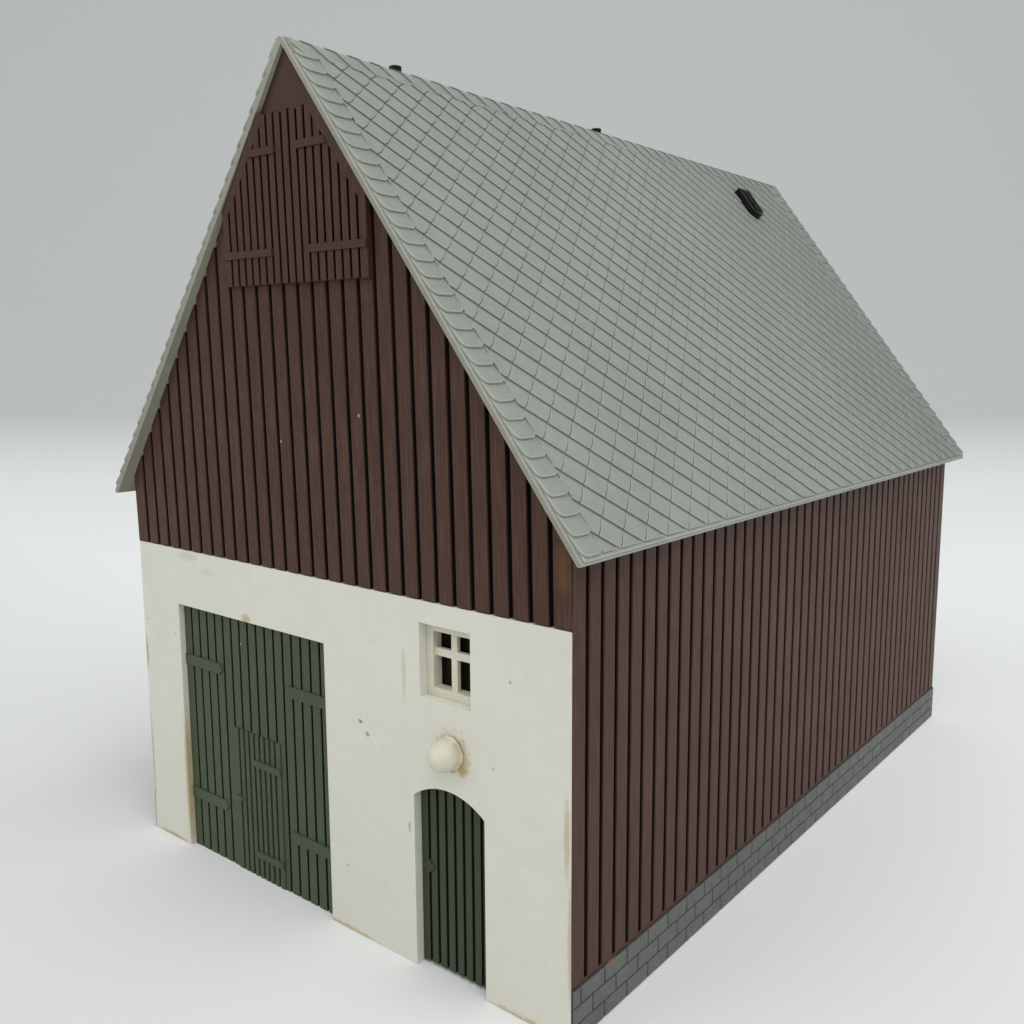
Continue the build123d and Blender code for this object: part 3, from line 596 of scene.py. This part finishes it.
def block(name, corner, far, rim, steps, finish):
    """Bar between two corners, in one finish, with its edges rounded."""
    corner, far = Vector(corner), Vector(far)
    bpy.ops.object.select_all(action="DESELECT")
    bpy.ops.mesh.primitive_cube_add(size=1, location=(corner + far) / 2)
    made = bpy.context.object
    made.name = name
    made.scale = far - corner
    bpy.ops.object.transform_apply(location=True, scale=True)
    if rim:
        bpy.ops.object.mode_set(mode="EDIT")
        bpy.ops.mesh.select_all(action="SELECT")
        bpy.ops.mesh.bevel(offset=rim, segments=steps, affect="EDGES")
        bpy.ops.object.mode_set(mode="OBJECT")
    finished(made)
    # Flat faces take the finish, rounded edges the painted highlight of the arrises.
    for face in made.data.polygons:
        flat = max(abs(share) for share in face.normal) > 0.99
        face.material_index = finish if flat else ARRIS
    return made


def thickened(face, depth, rim, steps):
    """Makes a slate of a flat face: thickness below it and a soft rim round it."""
    take(face)
    bpy.ops.object.mode_set(mode="EDIT")
    bpy.ops.mesh.select_mode(type="FACE")
    bpy.ops.mesh.select_all(action="SELECT")
    bpy.ops.mesh.extrude_region_move(TRANSFORM_OT_translate={"value": (0, 0, -depth)})
    bpy.ops.mesh.select_all(action="SELECT")
    bpy.ops.mesh.normals_make_consistent(inside=False)
    bpy.ops.mesh.select_all(action="DESELECT")
    bpy.ops.object.mode_set(mode="OBJECT")
    for polygon in face.data.polygons:
        polygon.select = polygon.normal.z > 0.9
    bpy.ops.object.mode_set(mode="EDIT")
    bpy.ops.mesh.region_to_loop()
    bpy.ops.mesh.bevel(offset=rim, segments=steps, affect="EDGES")
    bpy.ops.object.mode_set(mode="OBJECT")
    finished(face)
    # Top in the slate grey, rounded rim in the painted highlight, upright sides in the painted
    # shade and dirt of the joints.
    for polygon in face.data.polygons:
        slant = polygon.normal.z
        polygon.material_index = FACE if slant > 0.98 else ARRIS if slant > 0.1 else JOINT


def mirrored(piece):
    """Copy of a piece for the far verge, flush with the end of the sheet."""
    take(piece)
    bpy.ops.object.duplicate()
    made = bpy.context.object
    made.scale = (-1, 1, 1)
    made.location = (ROOF_LENGTH + EDGE - 3 * HAIR, 0, 0.0001)
    bpy.ops.object.transform_apply(location=True, scale=True)
    bpy.ops.object.mode_set(mode="EDIT")
    bpy.ops.mesh.select_all(action="SELECT")
    bpy.ops.mesh.normals_make_consistent(inside=False)
    bpy.ops.object.mode_set(mode="OBJECT")
    return made


SLATE_GREY, SLATE_SHADE = (0.292, 0.312, 0.283), (0.250, 0.272, 0.246)
slate_grey = styrene(
    "slate_grey", SLATE_GREY, SLATE_SHADE, 0.5, grain=3500, relief=0.026, dust=0.05
)
# Painted shade: the slates grow darker towards the rear, where less light falls.
painted_rear_shade = ranged(slate_grey.node_tree, coordinates(slate_grey.node_tree, "Y"), 0.0, 0.062, end=0.85)
overlay(slate_grey, painted_rear_shade, (0.175, 0.192, 0.172))
# Paler grey of the rounded edges: a painted highlight.
slate_rim_highlight = styrene(
    "slate_rim_highlight", (0.37, 0.395, 0.36), (0.33, 0.355, 0.32), 0.45, grain=3500, relief=0.008, dust=0.02
)
# Darker, yellower grey of the upright sides in the joints and of the bed: painted shade and dirt.
slate_joint_shade_and_dirt = styrene("slate_joint_shade_and_dirt", (0.27, 0.265, 0.215), (0.22, 0.22, 0.175), 0.6, relief=0.008)
slate_side = styrene("slate_side", (0.30, 0.295, 0.235), (0.25, 0.245, 0.195), 0.5, relief=0.008)

# Field of slates, moulded as one sheet with the rest: each is pointed, with a bulging short
# end, and stands a little over the next at its joints. The first is shaped and repeated.
SLATE = Vector((0.00436, 0.00188))    # along a level row, and from row to row
CROSSING = (0.00639, 0.00063)         # of the joints, near the front corner
JOINT_LONG, JOINT_SHORT = 0.00027, 0.00011    # width
STEP_LONG, STEP_SHORT = 0.00017, 0.00003      # height
BULGE = 0.00015
LAP = 0.00015                         # of the verge slates over the field
half = SLATE.x / 2
# Two edges of a slate run up from its lowest point, one along its row and one, which
# bulges, along its short end. The grid is moved to fill the space between them.
bpy.ops.object.select_all(action="DESELECT")
bpy.ops.mesh.primitive_grid_add(x_subdivisions=6, y_subdivisions=1, size=1)
field = bpy.context.object
field.name = "field_slates"
row = Vector((-half, SLATE.y))
end = Vector((half, SLATE.y))
breadth = row.length * sin(2 * atan2(SLATE.y, half))
for vertex in field.data.vertices:
    along, up = vertex.co.x + 0.5, vertex.co.y + 0.5
    swell = BULGE * max(0, sin(pi * along)) ** 0.7
    spot = end * along * (1 - JOINT_LONG / breadth) + row * up * (1 - JOINT_SHORT / breadth)
    spot += Vector((end.y, -end.x)).normalized() * swell
    vertex.co = (spot.x, spot.y, 0)
thickened(field, 0.0003, RIM, 1)
field.rotation_euler = (
    -atan((STEP_LONG + STEP_SHORT) / (2 * SLATE.y)),
    atan((STEP_LONG - STEP_SHORT) / SLATE.x),
    0,
)
bpy.ops.object.transform_apply(rotation=True)
bpy.ops.object.duplicate()
second = bpy.context.object
second.location = (half, SLATE.y, 0)
bpy.ops.object.transform_apply(location=True)
field.select_set(True)
bpy.context.view_layer.objects.active = field
bpy.ops.object.join()
field.location = (CROSSING[0] - 2 * SLATE.x, CROSSING[1] - 2 * SLATE.y, TOP)
bpy.ops.object.transform_apply(location=True)
repeated(field, 31, (SLATE.x, 0, 0))
repeated(field, 19, (0, 2 * SLATE.y, 0))

# Tongues up the verges: each is a rectangle with both lower corners rounded, and its upper
# end lies below the next one. They lap a little over the field, which is cut off below.
TONGUE_WIDTH, TONGUE_PITCH = 0.0033, 0.00222
TONGUE_LENGTH = TONGUE_PITCH + 0.0012
TONGUE_STEP = 0.0003          # of each above the next
cut(field, (EDGE + TONGUE_WIDTH - LAP, 0, 0), (-1, 0, 0))
cut(field, (ROOF_LENGTH - TONGUE_WIDTH + LAP, 0, 0), (1, 0, 0))
cut(field, (0, FOOT, 0), (0, -1, 0))
bpy.ops.object.select_all(action="DESELECT")
bpy.ops.mesh.primitive_plane_add(size=1, location=(0.5, 0.5, 0))
tongues = bpy.context.object
tongues.name = "verge_slates"
tongues.scale = (TONGUE_WIDTH, TONGUE_LENGTH, 1)
bpy.ops.object.transform_apply(location=False, scale=True)
tongues.location = (TONGUE_WIDTH / 2, TONGUE_LENGTH / 2, 0)
bpy.ops.object.transform_apply(location=True)
for corner, radius in ((0, 0.0008), (TONGUE_WIDTH, 0.0009)):    # outer, and by the field
    take(tongues)
    for edge in tongues.data.edges:
        edge.select = False
    for face in tongues.data.polygons:
        face.select = False
    for vertex in tongues.data.vertices:
        vertex.select = abs(vertex.co.x - corner) < 1e-6 and vertex.co.y < 1e-6
    bpy.ops.object.mode_set(mode="EDIT")
    bpy.ops.mesh.select_mode(type="VERT")
    bpy.ops.mesh.bevel(offset=radius, segments=4, affect="VERTICES")
    bpy.ops.object.mode_set(mode="OBJECT")
thickened(tongues, 0.0006, 0.00013, 2)
# The sides of the tongues towards the field take the painted highlight too.
for face in tongues.data.polygons:
    if face.normal.x > 0.5 and face.material_index == JOINT:
        face.material_index = ARRIS
tongues.rotation_euler = (-atan(TONGUE_STEP / TONGUE_PITCH), 0, 0)
bpy.ops.object.transform_apply(rotation=True)
tongues.location = (EDGE, FOOT, TOP + 0.00006)
bpy.ops.object.transform_apply(location=True)
repeated(tongues, 30, (0, TONGUE_PITCH, 0))
cut(tongues, (0, SLOPE - 0.0004, 0), (0, 1, 0))

# Ridge course: slates with a slanting end and a curved lower edge, cut from a rectangle.
# The crest is cut off each one a little aslant, which leaves small teeth along the ridge.
RIDGE_PITCH = 0.00345
RIDGE_BAND = 0.0029           # from the ridge down
RIDGE_STEP = 0.0003           # of each above the next
CREST, CREST_LEAN = RIDGE + 0.0003, 20
cut(field, (0, SLOPE - RIDGE_BAND + 0.0006, 0), (0, 1, 0))
bpy.ops.object.select_all(action="DESELECT")
bpy.ops.mesh.primitive_plane_add(size=1, location=(0.0008, 0.0025, 0))
course = bpy.context.object
course.name = "ridge_slates"
course.scale = (0.0090, 0.0050, 1)
bpy.ops.object.transform_apply(location=True, scale=True)
cut(course, (0, 0, 0), (-1, -1, 0))                   # slanting end
cut(course, (0.0005, 0, 0), (0.10, -1, 0))            # lower edge
cut(course, (0.0018, 0.00016, 0), (0.26, -1, 0))      # its curve up
cut(course, (0.0042, 0, 0), (1, 0, 0))                # end below the next slate
thickened(course, 0.0007, 0.00013, 2)
course.rotation_euler = (0, atan(RIDGE_STEP / RIDGE_PITCH), 0)
bpy.ops.object.transform_apply(rotation=True)
course.location = (0.0016 - RIDGE_PITCH, SLOPE - RIDGE_BAND, TOP + 0.00012)
bpy.ops.object.transform_apply(location=True)
crest, upward = roof_plane(0, CREST, CREST_LEAN)
cut(course, crest - Vector((0.00325, 0, 0)), upward + Vector((0.06, 0, 0)))
cut(course, *roof_plane(0, 0, -90))
for face in course.data.polygons:
    if face.normal.y > 0.4:
        face.material_index = FACE
repeated(course, 38, (RIDGE_PITCH, 0, 0))
take(course)
bpy.ops.mesh.separate(type="LOOSE")
course_slates = sorted(
    bpy.context.selected_objects, key=lambda slate: slate.data.vertices[0].co.x
)
for number, part in enumerate(course_slates):
    apart = (4 + 3 * (number % 2)) * HAIR
    cut(part, (ROOF_LENGTH - apart, 0, 0), (1, 0, 0))
    cut(part, (EDGE - apart, 0, 0), (-1, 0, 0))

# Sheet below the slates, the bed that shows in their joints, the beds of the verges and
# the lip along the eave. With the slates they are cut level at the eave and upright at
# the ridge, and laid at their pitch. The left slope is the same moulding turned round.
BED = 0.0005                  # height
VERGE_BED = 0.0030            # width
SUNK = -0.0001                # undersides, inside the sheet
right, top = ROOF_LENGTH - 0.0001, SLOPE + 0.002      # top: past the cut at the ridge
parts = [
    block("sheet", (0, 0, SHEET_LIFT - SHEET), (ROOF_LENGTH, top, 0.00032), RIM, 2, SIDE),
    field,
    tongues,
    mirrored(tongues),
    # The bed that shows in the joints takes the painted shade and dirt.
    block("bed", (EDGE + 0.0005, FOOT, SUNK), (right - 0.0005, top, BED), 0, 2, JOINT),
]
for start in (EDGE + 4 * HAIR, right - VERGE_BED):
    near, far = (start, EDGE, SUNK), (start + VERGE_BED, top, BED)
    parts.append(block("verge_bed", near, far, RIM, 2, SIDE))
near, far = (EDGE + 5 * HAIR, 0.0002, SUNK), (right - 5 * HAIR, 0.0009, 0.00056)
parts.append(block("lip", near, far, 0.00012, 3, FACE))
for number, part in enumerate(parts):
    apart = number * HAIR
    cut(part, *roof_plane(0, EAVE_LEVEL + apart, 180))
    cut(part, *roof_plane(high.x - apart, 0, 90))
    cut(part, *roof_plane(0, CREST - 0.00015 - apart, CREST_LEAN))
    cut(part, *roof_plane(0, 0, -90))
bpy.ops.object.select_all(action="DESELECT")
for part in parts + course_slates:
    part.select_set(True)
bpy.context.view_layer.objects.active = parts[0]
bpy.ops.object.join()
slope_right = bpy.context.object
slope_right.name = "slates_right"
# The outer sides of the verge slates take no painted joint shade: they are as pale as the sheet.
for face in slope_right.data.polygons:
    outer = min(face.center.x, ROOF_LENGTH - face.center.x) < 0.0012
    if outer and abs(face.normal.x) > 0.4 and face.material_index == JOINT:
        face.material_index = SIDE
up = Vector((-cos(PITCH), 0, sin(PITCH)))
out = Vector((sin(PITCH), 0, cos(PITCH)))
slope_right.matrix_world = Matrix(
    (
        (0, up.x, out.x, EAVE),
        (1, up.y, out.y, ROOF_FRONT),
        (0, up.z, out.z, EAVE_LEVEL),
        (0, 0, 0, 1),
    )
)
bpy.ops.object.transform_apply(location=True, rotation=True)
bpy.ops.object.shade_smooth_by_angle(angle=radians(35))
take(slope_right)
bpy.ops.object.duplicate()
slope_left = bpy.context.object
slope_left.name = "slates_left"
slope_left.location = (0, 2 * ROOF_FRONT + ROOF_LENGTH, 0)
slope_left.rotation_euler = (0, 0, radians(180))
bpy.ops.object.transform_apply(location=True, rotation=True)
for piece, node in ((slope_right, "roof_right"), (slope_left, "roof_left")):
    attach(piece, "root")
    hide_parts(node)

# Roof hatch and vent pipes: small black styrene fittings, half glossy, with their pegs in
# holes of the roof. The pipes stand behind the ridge and lean to it, wider at the top.
PIPE_TOP = RIDGE + 0.0008     # all above this is wider and leans
PIPE_SPREAD, PIPE_LEAN = 1.2, 0.0006
BLACK, BLACK_SHADE = (0.004, 0.004, 0.004), (0.008, 0.008, 0.008)
black = styrene("black_fittings", BLACK, BLACK_SHADE, 0.3, relief=0.006, dust=0.06, shine=0.2)
for node, name, radius in (
    ("roof_hatch", "hatch", 0.00018),
    ("vent_pipe_front", "vent_front", 0.0001),
    ("vent_pipe_middle", "vent_middle", 0.0001),
):
    fitting = softened(node, name, radius, 3)
    if node.startswith("vent"):
        for vertex in fitting.data.vertices:
            vertex.select = vertex.co.z > PIPE_TOP
        bpy.ops.object.mode_set(mode="EDIT")
        bpy.ops.mesh.select_mode(type="VERT")
        bpy.ops.transform.resize(value=(PIPE_SPREAD, PIPE_SPREAD, 1))
        bpy.ops.transform.translate(value=(PIPE_LEAN, 0, 0))
        bpy.ops.object.mode_set(mode="OBJECT")
    fitting.data.materials.append(black)

bpy.context.view_layer.update()
